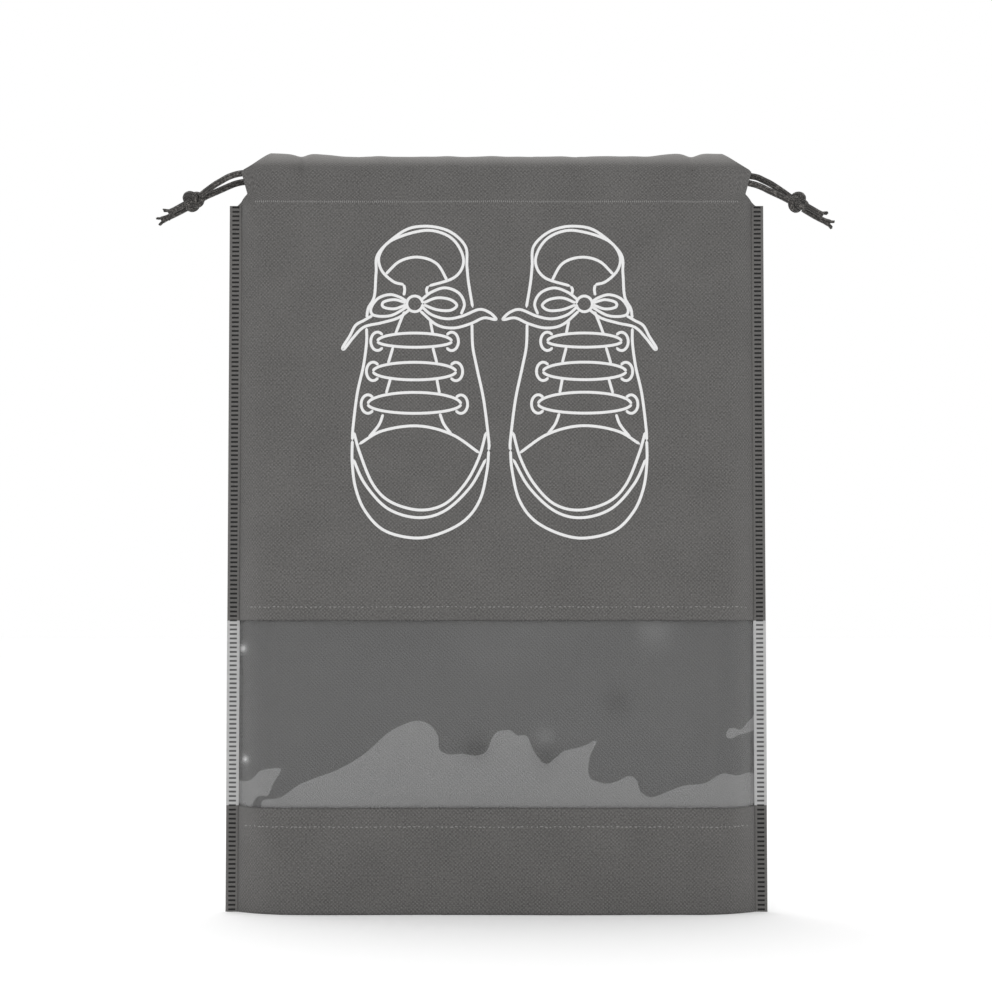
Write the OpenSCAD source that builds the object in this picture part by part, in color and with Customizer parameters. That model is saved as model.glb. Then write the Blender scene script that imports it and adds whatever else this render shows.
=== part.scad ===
// Drawstring shoe bag: two fabric walls welded together at the sides, a folded base,
// a clear window low in the front, a hem channel at each side of the mouth, and two
// drawcords that each run round the whole mouth and leave it at opposite sides.
// X runs across the bag, Y from front to back and Z up; the origin is the middle of
// the base, on the surface that the bag stands on.

/* [Bag] */
// Width over the two side seams
bag_w = 320; // [280:1:400]
// Height from the base to the top fold of the mouth
bag_h = 450; // [380:1:560]
// Front to back depth of the base
base_depth = 36; // [24:1:60]
// Front to back depth at the top of the lower band
belly_depth = 44; // [24:1:60]
// Front to back depth at the top of the window
window_depth = 40; // [24:1:60]
// Front to back depth of the closed mouth
mouth_depth = 22; // [18:0.5:30]
// Width over which each wall turns in to the side seam
turn_w = 22.5; // [15:0.5:35]

/* [Fabric and film] */
// Thickness of the felted fabric
fabric_t = 0.5; // [0.3:0.05:0.8]
// Thickness of the clear film
film_t = 0.2; // [0.1:0.05:0.4]
// Width of the welded strip down each side
seam_w = 7.5; // [5:0.5:12]
// Drop from the top of the walls to the top of each side seam
seam_drop = 0.5; // [0:0.5:5]

/* [Window] */
// Height of the lower band of fabric
band_h = 62.5; // [40:0.5:100]
// Height of the clear window between the two fabric edges
window_h = 109; // [60:0.5:160]
// Width of film that lies behind the fabric above and below
film_lap = 18; // [14:0.5:30]
// Distance from the upper fabric edge to its weld line
upper_weld_inset = 8; // [4:0.5:12]
// Distance from the lower fabric edge to its weld line
lower_weld_inset = 11; // [4:0.5:12]
// Height of a weld line
weld_h = 1.2; // [0.6:0.1:2]
// How far a weld line stands proud of the fabric
weld_t = 0.15; // [0.1:0.05:0.3]

/* [Cord channel] */
// Height of the hem that forms the channel
channel_h = 30.5; // [26:0.5:45]
// Gap between the front and back channels
mouth_gap = 7; // [5:0.5:10]
// Distance from the channel's top corner in to the side of the bag
corner_in = 25.5; // [15:0.5:40]
// Distance from the shoulder, where the cord leaves, in to the side of the bag
shoulder_in = 9; // [6:0.5:14]
// Drop from the top fold to the shoulder
shoulder_drop = 10.5; // [6:0.5:14]
// Distance from the waist below the shoulder in to the side of the bag
waist_in = 11; // [8:0.5:18]
// Drop from the top fold to the waist
waist_drop = 23.5; // [18:0.5:25]
// Distance from the foot of the channel in to the side of the bag
foot_in = 14; // [10:0.5:20]
// Drop from the top fold to where the inner layer slants in to its weld
slant_drop = 18.5; // [17:0.5:24]
// Length of each channel end that has its outer layer only
open_end = 22; // [20:0.5:30]
// Distance from the channel's foot up to its weld line
channel_weld_up = 0.5; // [0:0.1:3]

/* [Cords] */
// Diameter of the braided cord
cord_d = 3.8; // [2.5:0.1:3.9]
// Length of the knot along the cord
knot_l = 13; // [10:0.5:18]
// Diameter of the knot
knot_d = 12; // [9:0.5:14]

/* [Print] */
// Width of a printed line
line_w = 1.8; // [1:0.1:2.5]
// Thickness of the ink
ink_t = 0.15; // [0.1:0.05:0.3]
// Distance between the centre lines of the two shoes
shoe_gap = 100.8; // [96:0.2:130]
// Distance that the pair of shoes sits right of the middle
shoe_shift = 1.8; // [-5:0.2:5]
// Height of the soles' tips above the base
shoe_z = 220; // [210:1:230]

/* [Hidden] */

fabric_colour = [0.39, 0.385, 0.37];
seam_colour = [0.32, 0.31, 0.30];
weld_colour = [0.50, 0.50, 0.48];
film_colour = [0.75, 0.76, 0.77, 0.35];
cord_colour = [0.22, 0.21, 0.20];
ink_colour = [0.93, 0.93, 0.92];

half_w = bag_w / 2;
seam_x = half_w - seam_w;
flat_x = seam_x - turn_w;
foot_x = half_w - foot_in;
wall_top = bag_h - channel_h;
window_top = band_h + window_h;
// Below this level the flat part of a wall ends at flat_x, and above it widens to foot_x
turn_top = wall_top - 20;
front_edge = fabric_t + film_t;
back_edge = fabric_t;

// Half depth of the bag at each level, from base to mouth
depth_profile = [
    [0, base_depth / 2], [band_h, belly_depth / 2],
    [window_top, window_depth / 2], [wall_top, mouth_depth / 2]
];
// All the levels at which a wall may bend or end, so that nested skins bend alike
wall_levels = [
    fabric_t, band_h - film_lap, band_h, window_top, window_top + film_lap,
    turn_top, wall_top
];
// Lean of the front wall above the window
panel_lean = atan((window_depth - mouth_depth) / 2 / (wall_top - window_top));

function half_depth(z) = lookup(z, depth_profile);
function flat_half(z) = z > turn_top ? foot_x : flat_x;
function levels_between(low, high) = [for (z = wall_levels) if (z >= low && z <= high) z];

// One row of a wall's surface at height z, sunk by the given amount from the outside
function wall_row(z, sunk, edge, side) = [
    [-seam_x, side * (edge - sunk), z],
    [-flat_half(z), side * (half_depth(z) - sunk), z],
    [flat_half(z), side * (half_depth(z) - sunk), z],
    [seam_x, side * (edge - sunk), z]
];

// A skin of the bag: the outer and inner grids of points, joined round the rim.
// side is -1 for the front wall and 1 for the back wall.
module wall(levels, sunk, thickness, edge, side) {
    n = len(levels);
    points = [
        for (s = [sunk, sunk + thickness], z = levels) each wall_row(z, s, edge, side)
    ];
    function outer(r, c) = r * 4 + c;
    function inner(r, c) = (n + r) * 4 + c;
    skin = [
        for (r = [0 : n - 2], c = [0 : 2]) each [
            [outer(r, c), outer(r + 1, c), outer(r + 1, c + 1)],
            [outer(r, c), outer(r + 1, c + 1), outer(r, c + 1)],
            [inner(r, c), inner(r + 1, c + 1), inner(r + 1, c)],
            [inner(r, c), inner(r, c + 1), inner(r + 1, c + 1)]
        ]
    ];
    rim = [
        for (c = [0 : 2]) each [
            [outer(0, c), outer(0, c + 1), inner(0, c + 1), inner(0, c)],
            [outer(n - 1, c), inner(n - 1, c), inner(n - 1, c + 1), outer(n - 1, c + 1)]
        ],
        for (r = [0 : n - 2]) each [
            [outer(r, 0), inner(r, 0), inner(r + 1, 0), outer(r + 1, 0)],
            [outer(r, 3), outer(r + 1, 3), inner(r + 1, 3), inner(r, 3)]
        ]
    ];
    faces = concat(skin, rim);
    polyhedron(points, side < 0 ? faces : [for (f = faces) [for (i = [len(f) - 1 : -1 : 0]) f[i]]]);
}

// The back wall, from the base fold up to the channel
module back_panel() {
    color(fabric_colour) wall(wall_levels, 0, fabric_t, back_edge, 1);
}

// The strip of fabric that the bag stands on, between the two fold lines
module base_fold() {
    d = half_depth(0);
    color(fabric_colour) linear_extrude(fabric_t) polygon([
        [-seam_x, -front_edge], [-flat_x, -d], [flat_x, -d], [seam_x, -front_edge],
        [seam_x, back_edge], [flat_x, d], [-flat_x, d], [-seam_x, back_edge]
    ]);
}

// The band of fabric below the window
module front_lower_band() {
    color(fabric_colour) wall(levels_between(0, band_h), 0, fabric_t, front_edge, -1);
}

// The clear film, whose margins lie behind the fabric above and below
module window_film() {
    levels = levels_between(band_h - film_lap, window_top + film_lap);
    color(film_colour) wall(levels, fabric_t, film_t, front_edge, -1);
}

// The printed front wall above the window
module front_upper_panel() {
    color(fabric_colour) wall(levels_between(window_top, wall_top), 0, fabric_t, front_edge, -1);
}

// Outline of the hem's section in Y and Z, inset by the given amount: a flattened tube
// with a round fold at the top, whose inner layer slants in to the weld at its foot
function hem_section(inset) =
    let (
        outer_y = mouth_depth / 2 - inset,
        inner_y = mouth_gap / 2 + inset,
        r = (outer_y - inner_y) / 2,
        fold_z = bag_h - inset - r,
        foot_z = wall_top + 2 * inset
    )
    concat(
        [[outer_y, foot_z]],
        [for (a = [0 : 15 : 180]) [inner_y + r + r * cos(a), fold_z + r * sin(a)]],
        [[inner_y, bag_h - slant_drop], [outer_y - fabric_t, foot_z]]
    );

// One channel: the tube along X, cut to its front view, with its inner layer cut short
// at both ends so that a cord can turn from one channel into the other
module cord_channel() {
    reach = half_w;
    side_view = [
        [foot_x, wall_top], [half_w - waist_in, bag_h - waist_drop],
        [half_w - shoulder_in, bag_h - shoulder_drop], [half_w - corner_in, bag_h]
    ];
    mirrored = [for (i = [len(side_view) - 1 : -1 : 0]) [-side_view[i][0], side_view[i][1]]];
    difference() {
        intersection() {
            translate([-reach, 0, 0]) rotate([90, 0, 90]) linear_extrude(2 * reach)
                difference() {
                    polygon(hem_section(0));
                    polygon(hem_section(fabric_t));
                }
            translate([0, mouth_depth, 0]) rotate([90, 0, 0])
                linear_extrude(mouth_depth) polygon(concat(side_view, mirrored));
        }
        for (s = [-1, 1]) translate([s * half_w - open_end, 0, wall_top])
            cube([2 * open_end, mouth_depth / 2 - fabric_t, channel_h + 1]);
    }
}

module back_cord_channel() {
    color(fabric_colour) cord_channel();
}

module front_cord_channel() {
    color(fabric_colour) mirror([0, 1, 0]) cord_channel();
}

// The strip where the walls are welded together down one side
module side_seam(side) {
    low_x = side < 0 ? -half_w : seam_x;
    translate([low_x, -front_edge, 0]) cube([seam_w, front_edge + back_edge, wall_top - seam_drop]);
}

module left_side_seam() {
    color(seam_colour) side_seam(-1);
}

module right_side_seam() {
    color(seam_colour) side_seam(1);
}

// The weld line at the foot of a channel
module channel_weld() {
    length = 2 * (foot_x - 1);
    translate([-length / 2, mouth_depth / 2, wall_top + channel_weld_up])
        cube([length, weld_t, weld_h]);
}

module back_channel_weld() {
    color(weld_colour) channel_weld();
}

module front_channel_weld() {
    color(weld_colour) mirror([0, 1, 0]) channel_weld();
}

// A weld line across the flat part of the front wall, centred on height z
module window_weld(z) {
    section = [
        for (p = [[-0.5, 0], [-0.5, 1], [0.5, 1], [0.5, 0]])
        let (level = z + p[0] * weld_h)
        [-half_depth(level) - p[1] * weld_t, level]
    ];
    translate([-flat_x, 0, 0]) rotate([90, 0, 90]) linear_extrude(2 * flat_x) polygon(section);
}

module window_top_weld() {
    color(weld_colour) window_weld(window_top + upper_weld_inset);
}

module window_bottom_weld() {
    color(weld_colour) window_weld(band_h - lower_weld_inset);
}

// ---- Printed shoes ----
// Each line is a smooth curve through a few points, in millimetres right of the shoe's
// centre line and above the tip of its sole, measured on the wall

collar = [
    [-28.5, 131], [-27.5, 137], [-24, 144], [-23, 158], [-21.5, 170], [-7, 183],
    [6, 186], [20, 183], [30, 174], [31, 162], [32, 152], [34.5, 137]
];
opening_left = [[-6.5, 144.5], [-6, 148], [-6.5, 151]];
opening_rim = [
    [-6.5, 151], [-13, 153], [-20, 160], [-21, 169], [-13, 178], [7, 183.5],
    [22, 178.5], [29, 166], [24, 155.5], [8, 150]
];
opening_right = [[8, 150], [7, 148], [7.5, 145]];
tongue = [[-17.5, 157], [-9, 165], [2, 167.5], [13, 163.5], [19.5, 153]];
upper_left = [[-28.5, 125], [-28.5, 116], [-30.3, 102], [-33.8, 86], [-36.2, 66], [-36.6, 58]];
upper_right = [[34, 128], [34.5, 114], [37, 101], [41, 82], [44, 58], [44, 52]];
sole = [
    [-36.6, 58], [-36.6, 45], [-34.6, 30], [-28.8, 16], [-17.5, 4.5], [0, 0], [15, 2.5],
    [30, 10.5], [39, 23], [43, 40], [44, 52]
];
toe_cap = [[-32.8, 55.5], [-19, 63.5], [2, 66.5], [22, 61.5], [39, 50]];
rim_inner = [
    [-35.8, 63], [-32, 50], [-24.4, 32], [-14, 21.5], [3, 16.5], [18, 20], [30, 32],
    [38, 47], [42.5, 63]
];
rim_outer = [[-36.1, 47], [-29, 32], [-15.6, 17.5], [2, 12], [18, 16], [33, 30], [42.5, 47]];
vamp_left = [[-18.5, 73.5], [-21, 67], [-27, 59.5]];
vamp_right = [[15, 74], [17.5, 67.5], [22, 61.5]];
eyestay_low_left = [[-14.5, 94], [-16.5, 87]];
eyestay_low_right = [[13.5, 94], [14.5, 87]];
eyestay_mid_left = [[-13, 113], [-15.5, 104.5]];
eyestay_mid_right = [[11, 113], [13, 105]];
eyestay_top_left = [[-6.5, 134], [-8.5, 129], [-11, 122]];
eyestay_top_right = [[9.5, 129], [10.5, 122]];
bow_left = [
    [-4, 140.5], [-9, 143.5], [-15, 145], [-22, 142.5], [-26, 136.5], [-24, 132.5],
    [-14, 132.5], [-4, 138]
];
bow_right = [[4, 142], [10, 146.5], [18, 149], [26, 146], [29.5, 139.5], [27.5, 133]];
bow_left_inner = [[-5, 140], [-12, 142], [-18.5, 140.5], [-18.5, 137.5], [-12, 136.5], [-5, 139]];
bow_right_inner = [[5, 140], [13, 143], [21, 142], [25, 138.5], [21, 135.5], [13, 136], [5, 139]];
lace_left_upper = [[-25, 132.5], [-30, 129.5], [-35, 126.5], [-38.5, 120], [-42.5, 113.5]];
lace_left_lower = [[-41.5, 112.5], [-36.5, 119], [-30, 125.5], [-20, 128], [-10, 131], [-3, 136]];
lace_right_upper = [[4, 138], [10, 133], [19, 130.5], [28, 132], [38, 136], [44, 134.5], [48, 131]];
lace_right_lower = [[47.5, 130], [41, 131], [33, 127.5], [23, 125], [13, 127], [3, 135.5]];
shoe_lines = [
    collar, opening_left, opening_rim, opening_right, tongue, upper_left, upper_right,
    sole, toe_cap, rim_inner, rim_outer, vamp_left, vamp_right,
    eyestay_low_left, eyestay_low_right, eyestay_mid_left, eyestay_mid_right,
    eyestay_top_left, eyestay_top_right, bow_left, bow_right, bow_left_inner,
    bow_right_inner, lace_left_upper, lace_left_lower, lace_right_upper, lace_right_lower
];
// The laces across the tongue: height, half width, and rise of the upper and lower arcs
laces = [[117, 22, 5, 3.5], [99, 24.5, 5.5, 5], [79.5, 27.5, 7, 5.5]];
eyelet_r = [4, 5.5];
eyelet_reach = 125;
lace_tips = [[-42, 113], [47.5, 130.5]];
bow_knot_z = 139.5;
bow_knot_r = 4.7;

// A smooth curve through the points, with the given number of steps between neighbours
function spline_at(a, b, c, d, t) = 0.5 * (
    2 * b + (c - a) * t + (2 * a - 5 * b + 4 * c - d) * t * t
    + (3 * b - a - 3 * c + d) * t * t * t
);
function spline(p, steps) = concat(
    [
        for (i = [0 : len(p) - 2], j = [0 : steps - 1])
        let (
            before = i == 0 ? 2 * p[0] - p[1] : p[i - 1],
            after = i == len(p) - 2 ? 2 * p[i + 1] - p[i] : p[i + 2]
        )
        spline_at(before, p[i], p[i + 1], after, j / steps)
    ],
    [p[len(p) - 1]]
);

// Unit direction of a polyline at point i
function heading(p, i) =
    let (d = p[min(i + 1, len(p) - 1)] - p[max(i - 1, 0)]) d / norm(d);

// The outline of a line of width w along the polyline p
function ribbon(p, w) =
    let (normals = [for (i = [0 : len(p) - 1]) let (h = heading(p, i)) [-h[1], h[0]]])
    concat(
        [for (i = [0 : len(p) - 1]) p[i] + normals[i] * w / 2],
        [for (i = [len(p) - 1 : -1 : 0]) p[i] - normals[i] * w / 2]
    );

// An arc of an ellipse with centre c and radii r, from angle a0 to a1
function arc(c, r, a0, a1, n) =
    [for (i = [0 : n]) let (a = a0 + (a1 - a0) * i / n) [c[0] + r[0] * cos(a), c[1] + r[1] * sin(a)]];

// The long oval of a lace across the tongue, grown by the given amount
function lace_outline(l, grow) = concat(
    arc([0, l[0]], [l[1] + grow, l[2] + grow], 0, 180, 10),
    arc([0, l[0]], [l[1] + grow, l[3] + grow], 198, 342, 8)
);

// The part of an eyelet's rim that shows round the end of a lace, about direction a
function eyelet_arc(x, y, a) = arc([x, y], eyelet_r, a - eyelet_reach, a + eyelet_reach, 7);

// All the lines as one outline, with the sharp nicks where lines meet filled in
module shoe_print() {
    curve_steps = 2;
    nick = 0.2;
    linear_extrude(ink_t) offset(delta = -nick) offset(delta = nick) {
        for (p = shoe_lines)
            polygon(ribbon(len(p) > 2 ? spline(p, curve_steps) : p, line_w));
        for (l = laces) {
            difference() {
                polygon(lace_outline(l, line_w / 2));
                polygon(lace_outline(l, -line_w / 2));
            }
            for (s = [-1, 1])
                polygon(ribbon(eyelet_arc(s * l[1], l[0], 90 - 90 * s), line_w));
        }
        for (tip = lace_tips) translate(tip) circle(line_w * 0.7, $fn = 13);
        difference() {
            translate([0, bow_knot_z]) circle(bow_knot_r + line_w / 2, $fn = 20);
            translate([0, bow_knot_z]) circle(bow_knot_r - line_w / 2, $fn = 20);
        }
    }
}

// A shoe's print laid on the leaning front wall, its centre line at x
module print_on_wall(x, flipped) {
    translate([x, -half_depth(shoe_z), shoe_z]) rotate([90 - panel_lean, 0, 0])
        mirror([flipped ? 1 : 0, 0, 0]) shoe_print();
}

module left_shoe_print() {
    color(ink_colour) print_on_wall(shoe_shift - shoe_gap / 2, false);
}

module right_shoe_print() {
    color(ink_colour) print_on_wall(shoe_shift + shoe_gap / 2, true);
}

// ---- Drawcords ----
// Each cord is one loop: out of its knot, through the front channel, round the far end of
// the mouth and back through the back channel to the knot

left_cord_route = [
    [-178, -1.5, 425.5], [-174, -2.5, 428.5], [-169, -3.7, 431.9], [-160, -5.5, 436.7],
    [-155, -6.5, 438.1], [-146, -7, 439], [0, -7, 439.5], [138, -7, 439.5], [141.5, -6, 439],
    [144, -3.5, 438.5], [145, 0, 437.5], [144, 3.5, 437], [141.5, 6, 436.5], [138, 7, 436],
    [0, 7, 436], [-146, 7, 436.2], [-155, 6.5, 435.4], [-160, 5.5, 433.4], [-169, 3.5, 428.9],
    [-174, 2.5, 426.5], [-178, 2, 424]
];
right_cord_route = [
    [177, -2, 422], [174, -2.5, 423.5], [169, -3.5, 425.8], [164, -4.5, 427.8],
    [157, -6.2, 431], [146, -7, 433.7], [0, -7, 434], [-138, -7, 434], [-141.5, -6, 434.5],
    [-144, -3.5, 435.5], [-145, 0, 437.5], [-144, 3.5, 439.5], [-141.5, 6, 440.5], [-138, 7, 441],
    [0, 7, 441], [146, 7, 440.6], [157, 6.2, 438.5], [164, 4.5, 434.8], [169, 3.5, 431.4],
    [174, 2.5, 427.6], [177, 1.5, 425]
];
// The two short ends beyond each knot
left_tail_routes = [
    [[-185.5, -1, 421.5], [-191.5, -2, 418], [-196.5, -2, 415]],
    [[-185, 2, 419.5], [-192, 2, 415.8], [-197.5, 2, 413.2], [-201.5, 2, 411.5]]
];
right_tail_routes = [
    [[184.5, -1, 420.5], [190.5, -2, 416.8], [195.5, -2, 413.6]],
    [[184, 2, 418.5], [191, 2, 414.2], [196.5, 2, 411.4], [200.5, 2, 409.6]]
];
left_knot_at = [-182, 0, 423];
right_knot_at = [181, 0, 422];
// Slope of the cord where it passes through its knot
knot_slope = 32;
cord_sides = 8;

// A tube along the route: one ring of points at each of its points
module cord(route) {
    n = len(route);
    rings = [
        for (i = [0 : n - 1])
        let (
            h = heading(route, i),
            side = cross([0, 0, 1], h) / norm(cross([0, 0, 1], h)),
            top = cross(h, side)
        )
        [for (k = [0 : cord_sides - 1]) let (a = 360 * k / cord_sides)
            route[i] + cord_d / 2 * (side * cos(a) + top * sin(a))]
    ];
    function at(i, k) = i * cord_sides + k % cord_sides;
    polyhedron(
        [for (ring = rings) each ring],
        concat(
            [[for (k = [0 : cord_sides - 1]) at(0, k)]],
            [for (i = [0 : n - 2], k = [0 : cord_sides - 1]) each [
                [at(i, k), at(i + 1, k), at(i + 1, k + 1)],
                [at(i, k), at(i + 1, k + 1), at(i, k + 1)]
            ]],
            [[for (k = [cord_sides - 1 : -1 : 0]) at(n - 1, k)]]
        )
    );
}

// A knot: a rounded body turned about the cord's own direction
module knot(at, slope) {
    profile = [
        for (a = [-90 : 15 : 90]) [knot_d / 2 * cos(a), knot_l / 2 * sin(a)]
    ];
    translate(at) rotate([0, slope, 0]) rotate_extrude($fn = 48) polygon(profile);
}

module left_drawcord() {
    color(cord_colour) cord(left_cord_route);
}

module right_drawcord() {
    color(cord_colour) cord(right_cord_route);
}

module left_knot() {
    color(cord_colour) knot(left_knot_at, 90 - knot_slope);
}

module right_knot() {
    color(cord_colour) knot(right_knot_at, 90 + knot_slope);
}

module left_tails() {
    color(cord_colour) for (route = left_tail_routes) cord(route);
}

module right_tails() {
    color(cord_colour) for (route = right_tail_routes) cord(route);
}

back_panel();
base_fold();
front_lower_band();
window_film();
front_upper_panel();
front_cord_channel();
back_cord_channel();
left_side_seam();
right_side_seam();
front_channel_weld();
back_channel_weld();
window_top_weld();
window_bottom_weld();
left_shoe_print();
right_shoe_print();
left_drawcord();
left_knot();
left_tails();
right_drawcord();
right_knot();
right_tails();
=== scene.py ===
import math

import bpy
import numpy as np
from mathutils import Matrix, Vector


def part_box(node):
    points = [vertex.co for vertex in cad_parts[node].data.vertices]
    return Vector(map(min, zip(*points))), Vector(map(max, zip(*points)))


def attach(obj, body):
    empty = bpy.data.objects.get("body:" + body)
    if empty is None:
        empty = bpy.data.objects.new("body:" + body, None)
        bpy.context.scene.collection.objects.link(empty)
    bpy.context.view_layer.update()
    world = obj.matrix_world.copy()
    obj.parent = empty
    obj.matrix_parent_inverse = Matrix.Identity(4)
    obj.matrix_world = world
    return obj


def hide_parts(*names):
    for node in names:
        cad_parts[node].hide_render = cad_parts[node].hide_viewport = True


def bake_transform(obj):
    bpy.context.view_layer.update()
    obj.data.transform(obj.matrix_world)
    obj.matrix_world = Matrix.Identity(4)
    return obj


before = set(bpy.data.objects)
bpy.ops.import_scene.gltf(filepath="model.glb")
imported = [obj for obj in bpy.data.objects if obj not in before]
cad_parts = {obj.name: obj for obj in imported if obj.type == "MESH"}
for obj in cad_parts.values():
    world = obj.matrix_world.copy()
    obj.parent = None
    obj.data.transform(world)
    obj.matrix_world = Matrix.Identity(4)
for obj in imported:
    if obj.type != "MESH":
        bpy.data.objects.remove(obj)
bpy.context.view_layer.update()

# ---- Base, back and front walls ----
# The bag is cut from soft felted fabric, bonded all over in small points. One cut runs up
# the back, under the base and up to the window, and a second runs from the window to the
# mouth. The walls swell a little low down, round off into the side seams and hang in waves.

FABRIC_T = 0.0005
BASE_R = 0.002
PLEAT = 0.0008
HALF_W = -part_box("left_side_seam")[0].x
SEAM_X = -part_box("left_side_seam")[1].x
SEAM_FRONT = -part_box("left_side_seam")[0].y
SEAM_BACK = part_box("left_side_seam")[1].y
BAND_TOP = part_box("front_lower_band")[1].z
WINDOW_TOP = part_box("front_upper_panel")[0].z
WALL_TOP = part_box("front_upper_panel")[1].z
BAG_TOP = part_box("front_cord_channel")[1].z
MOUTH_HALF = -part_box("front_cord_channel")[0].y
upper_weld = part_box("window_top_weld")
UPPER_WELD = (upper_weld[0].z + upper_weld[1].z) / 2
lower_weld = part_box("window_bottom_weld")
LOWER_WELD = (lower_weld[0].z + lower_weld[1].z) / 2
depth_curve = np.polyfit(
    [0, BAND_TOP, UPPER_WELD, WALL_TOP],
    [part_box("base_fold")[1].y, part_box("back_panel")[1].y, -upper_weld[1].y, MOUTH_HALF],
    3,
)


def ease(t):
    """Smooth step: 0 below 0, 1 above 1, and 3t^2 - 2t^3 between them."""
    t = np.clip(t, 0, 1)
    return t * t * (3 - 2 * t)


def turn(x, z):
    """Rounding of a wall into its seam: 1 on the flat, then sin^0.8 of the way left, to 0. It
    takes 36 mm at the base, 22 mm up the side and 8 mm at the foot of the hem."""
    width = np.interp(z, [0, 0.06, 0.36, WALL_TOP], [0.036, 0.022, 0.022, 0.008])
    return np.sin(np.pi / 2 * np.clip((SEAM_X - np.abs(x)) / width, 0, 1)) ** 0.8


def swell(x, z, side):
    """Slow waves of the cloth, 75 to 200 mm from crest to crest, and the short pleats that
    the cords leave near the mouth: sums of sines and cosines, the pleats eased in by height."""
    waves = (
        0.0005 * np.sin(52 * x + 21 * z + 0.6 + side)
        + 0.0004 * np.sin(-31 * x + 44 * z + 1.9 - side)
        + 0.0002 * np.sin(83 * x - 17 * z + 4.0 + side)
    )
    return waves + PLEAT * ease((z - 0.33) / 0.11) * gathers(x + 0.004 * side)


def gathers(x):
    """Pleats along the mouth, from -1 to 1: three cosines whose lengths don't agree."""
    return (
        0.45 * np.cos(2 * np.pi * x / 0.0335 + 0.4)
        + 0.33 * np.cos(2 * np.pi * x / 0.0217 + 2.1)
        + 0.22 * np.cos(2 * np.pi * x / 0.0139 + 1.2)
    )


def wall(x, z, side, sunk=0.0):
    """A point of the front (side -1) or back (side 1) wall, sunk below its face: the depth
    curve and the waves times the turn into the seam, less a quarter round at the base."""
    edge = SEAM_FRONT if side < 0 else SEAM_BACK
    below = np.clip(BASE_R - z, 0, BASE_R)
    under = BASE_R - np.sqrt(BASE_R**2 - below**2)
    depth = np.polyval(depth_curve, z) - edge + swell(x, z, side) - under
    return np.stack([x, side * (edge + depth * turn(x, z) - sunk), z], -1)


def spread(*stops):
    """Numbers from the first stop to the last; a count of steps stands between two stops."""
    parts = [
        np.linspace(a, b, n, endpoint=False)
        for a, n, b in zip(stops[:-2:2], stops[1:-1:2], stops[2::2])
    ]
    return np.concatenate(parts + [[stops[-1]]])


def lengths(points, column=0):
    """Distances over the cloth in metres: along each row from the given column, and up each
    column from the first row, by adding up the steps between neighbours."""
    along = np.zeros(points.shape[:2])
    up = np.zeros(points.shape[:2])
    along[:, 1:] = np.cumsum(np.linalg.norm(np.diff(points, axis=1), axis=-1), axis=1)
    up[1:] = np.cumsum(np.linalg.norm(np.diff(points, axis=0), axis=-1), axis=0)
    return np.stack([along - along[:, [column]], up + points[0, 0, 2]], -1)


def make_piece(name, grids, finish, flip=False, ring=False, marks=None):
    """One mesh from several grids of points, each with its cloth lengths as the UV map. Each
    cell is a four-sided face. A ring's last column joins its first, its ends are capped, and
    it turns its faces outwards by the sign of its volume. A border is kept sharp, so that the
    face of a sheet is not shaded round onto its cut edge. Marks are values at the points."""
    points, faces, uvs, first = [], [], [], 0
    for grid, uv in grids:
        rows, cols = grid.shape[:2]
        cells = cols if ring else cols - 1
        r, c = np.meshgrid(np.arange(rows - 1), np.arange(cells), indexing="ij")
        corners = [(r, c), (r, c + 1), (r + 1, c + 1), (r + 1, c)]
        quads = np.stack([i * cols + j % cols for i, j in corners], -1).reshape(-1, 4)
        at = np.stack([uv[i, j] for i, j in corners], -2).reshape(-1, 4, 2)
        around = flip
        if ring:
            a, b, d = (grid.reshape(-1, 3)[quads[:, k]] - grid.mean((0, 1)) for k in (0, 1, 2))
            around = (a * np.cross(b, d)).sum() < 0
            caps = [np.arange(cols)[::-1], np.arange(cols) + (rows - 1) * cols]
            cap_uvs = [uv[0, :cols][::-1], uv[-1, :cols]]
        if around:
            quads, at = quads[:, ::-1], at[:, ::-1]
        faces += (quads + first).tolist()
        uvs.append(at.reshape(-1, 2))
        if ring:
            for cap, cap_uv in zip(caps, cap_uvs):
                faces.append((cap[::-1] if around else cap).tolist())
                faces[-1] = [int(i) + first for i in faces[-1]]
                uvs.append(cap_uv[::-1] if around else cap_uv)
        points.append(grid.reshape(-1, 3))
        first += rows * cols
    mesh = bpy.data.meshes.new(name)
    mesh.from_pydata(np.concatenate(points).tolist(), [], faces)
    mesh.uv_layers.new(name="cloth").data.foreach_set("uv", np.concatenate(uvs).ravel())
    mesh.polygons.foreach_set("use_smooth", np.ones(len(mesh.polygons), bool))
    for mark, values in (marks or {}).items():
        layer = mesh.attributes.new(mark, "FLOAT", "POINT")
        layer.data.foreach_set("value", np.asarray(values, np.float32).ravel())
    used = np.empty(len(mesh.loops), np.int32)
    mesh.loops.foreach_get("edge_index", used)
    border = np.bincount(used, minlength=len(mesh.edges)) == 1
    mesh.attributes.new("sharp_edge", "BOOLEAN", "EDGE").data.foreach_set("value", border)
    mesh.materials.append(finish)
    piece = bpy.data.objects.new(name, mesh)
    bpy.context.scene.collection.objects.link(piece)
    return piece


def thicken(piece, thickness):
    """Gives a sheet its thickness, inwards from its outer face."""
    solid = piece.modifiers.new("thickness", "SOLIDIFY")
    solid.thickness = thickness
    solid.offset = -1
    return piece


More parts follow.
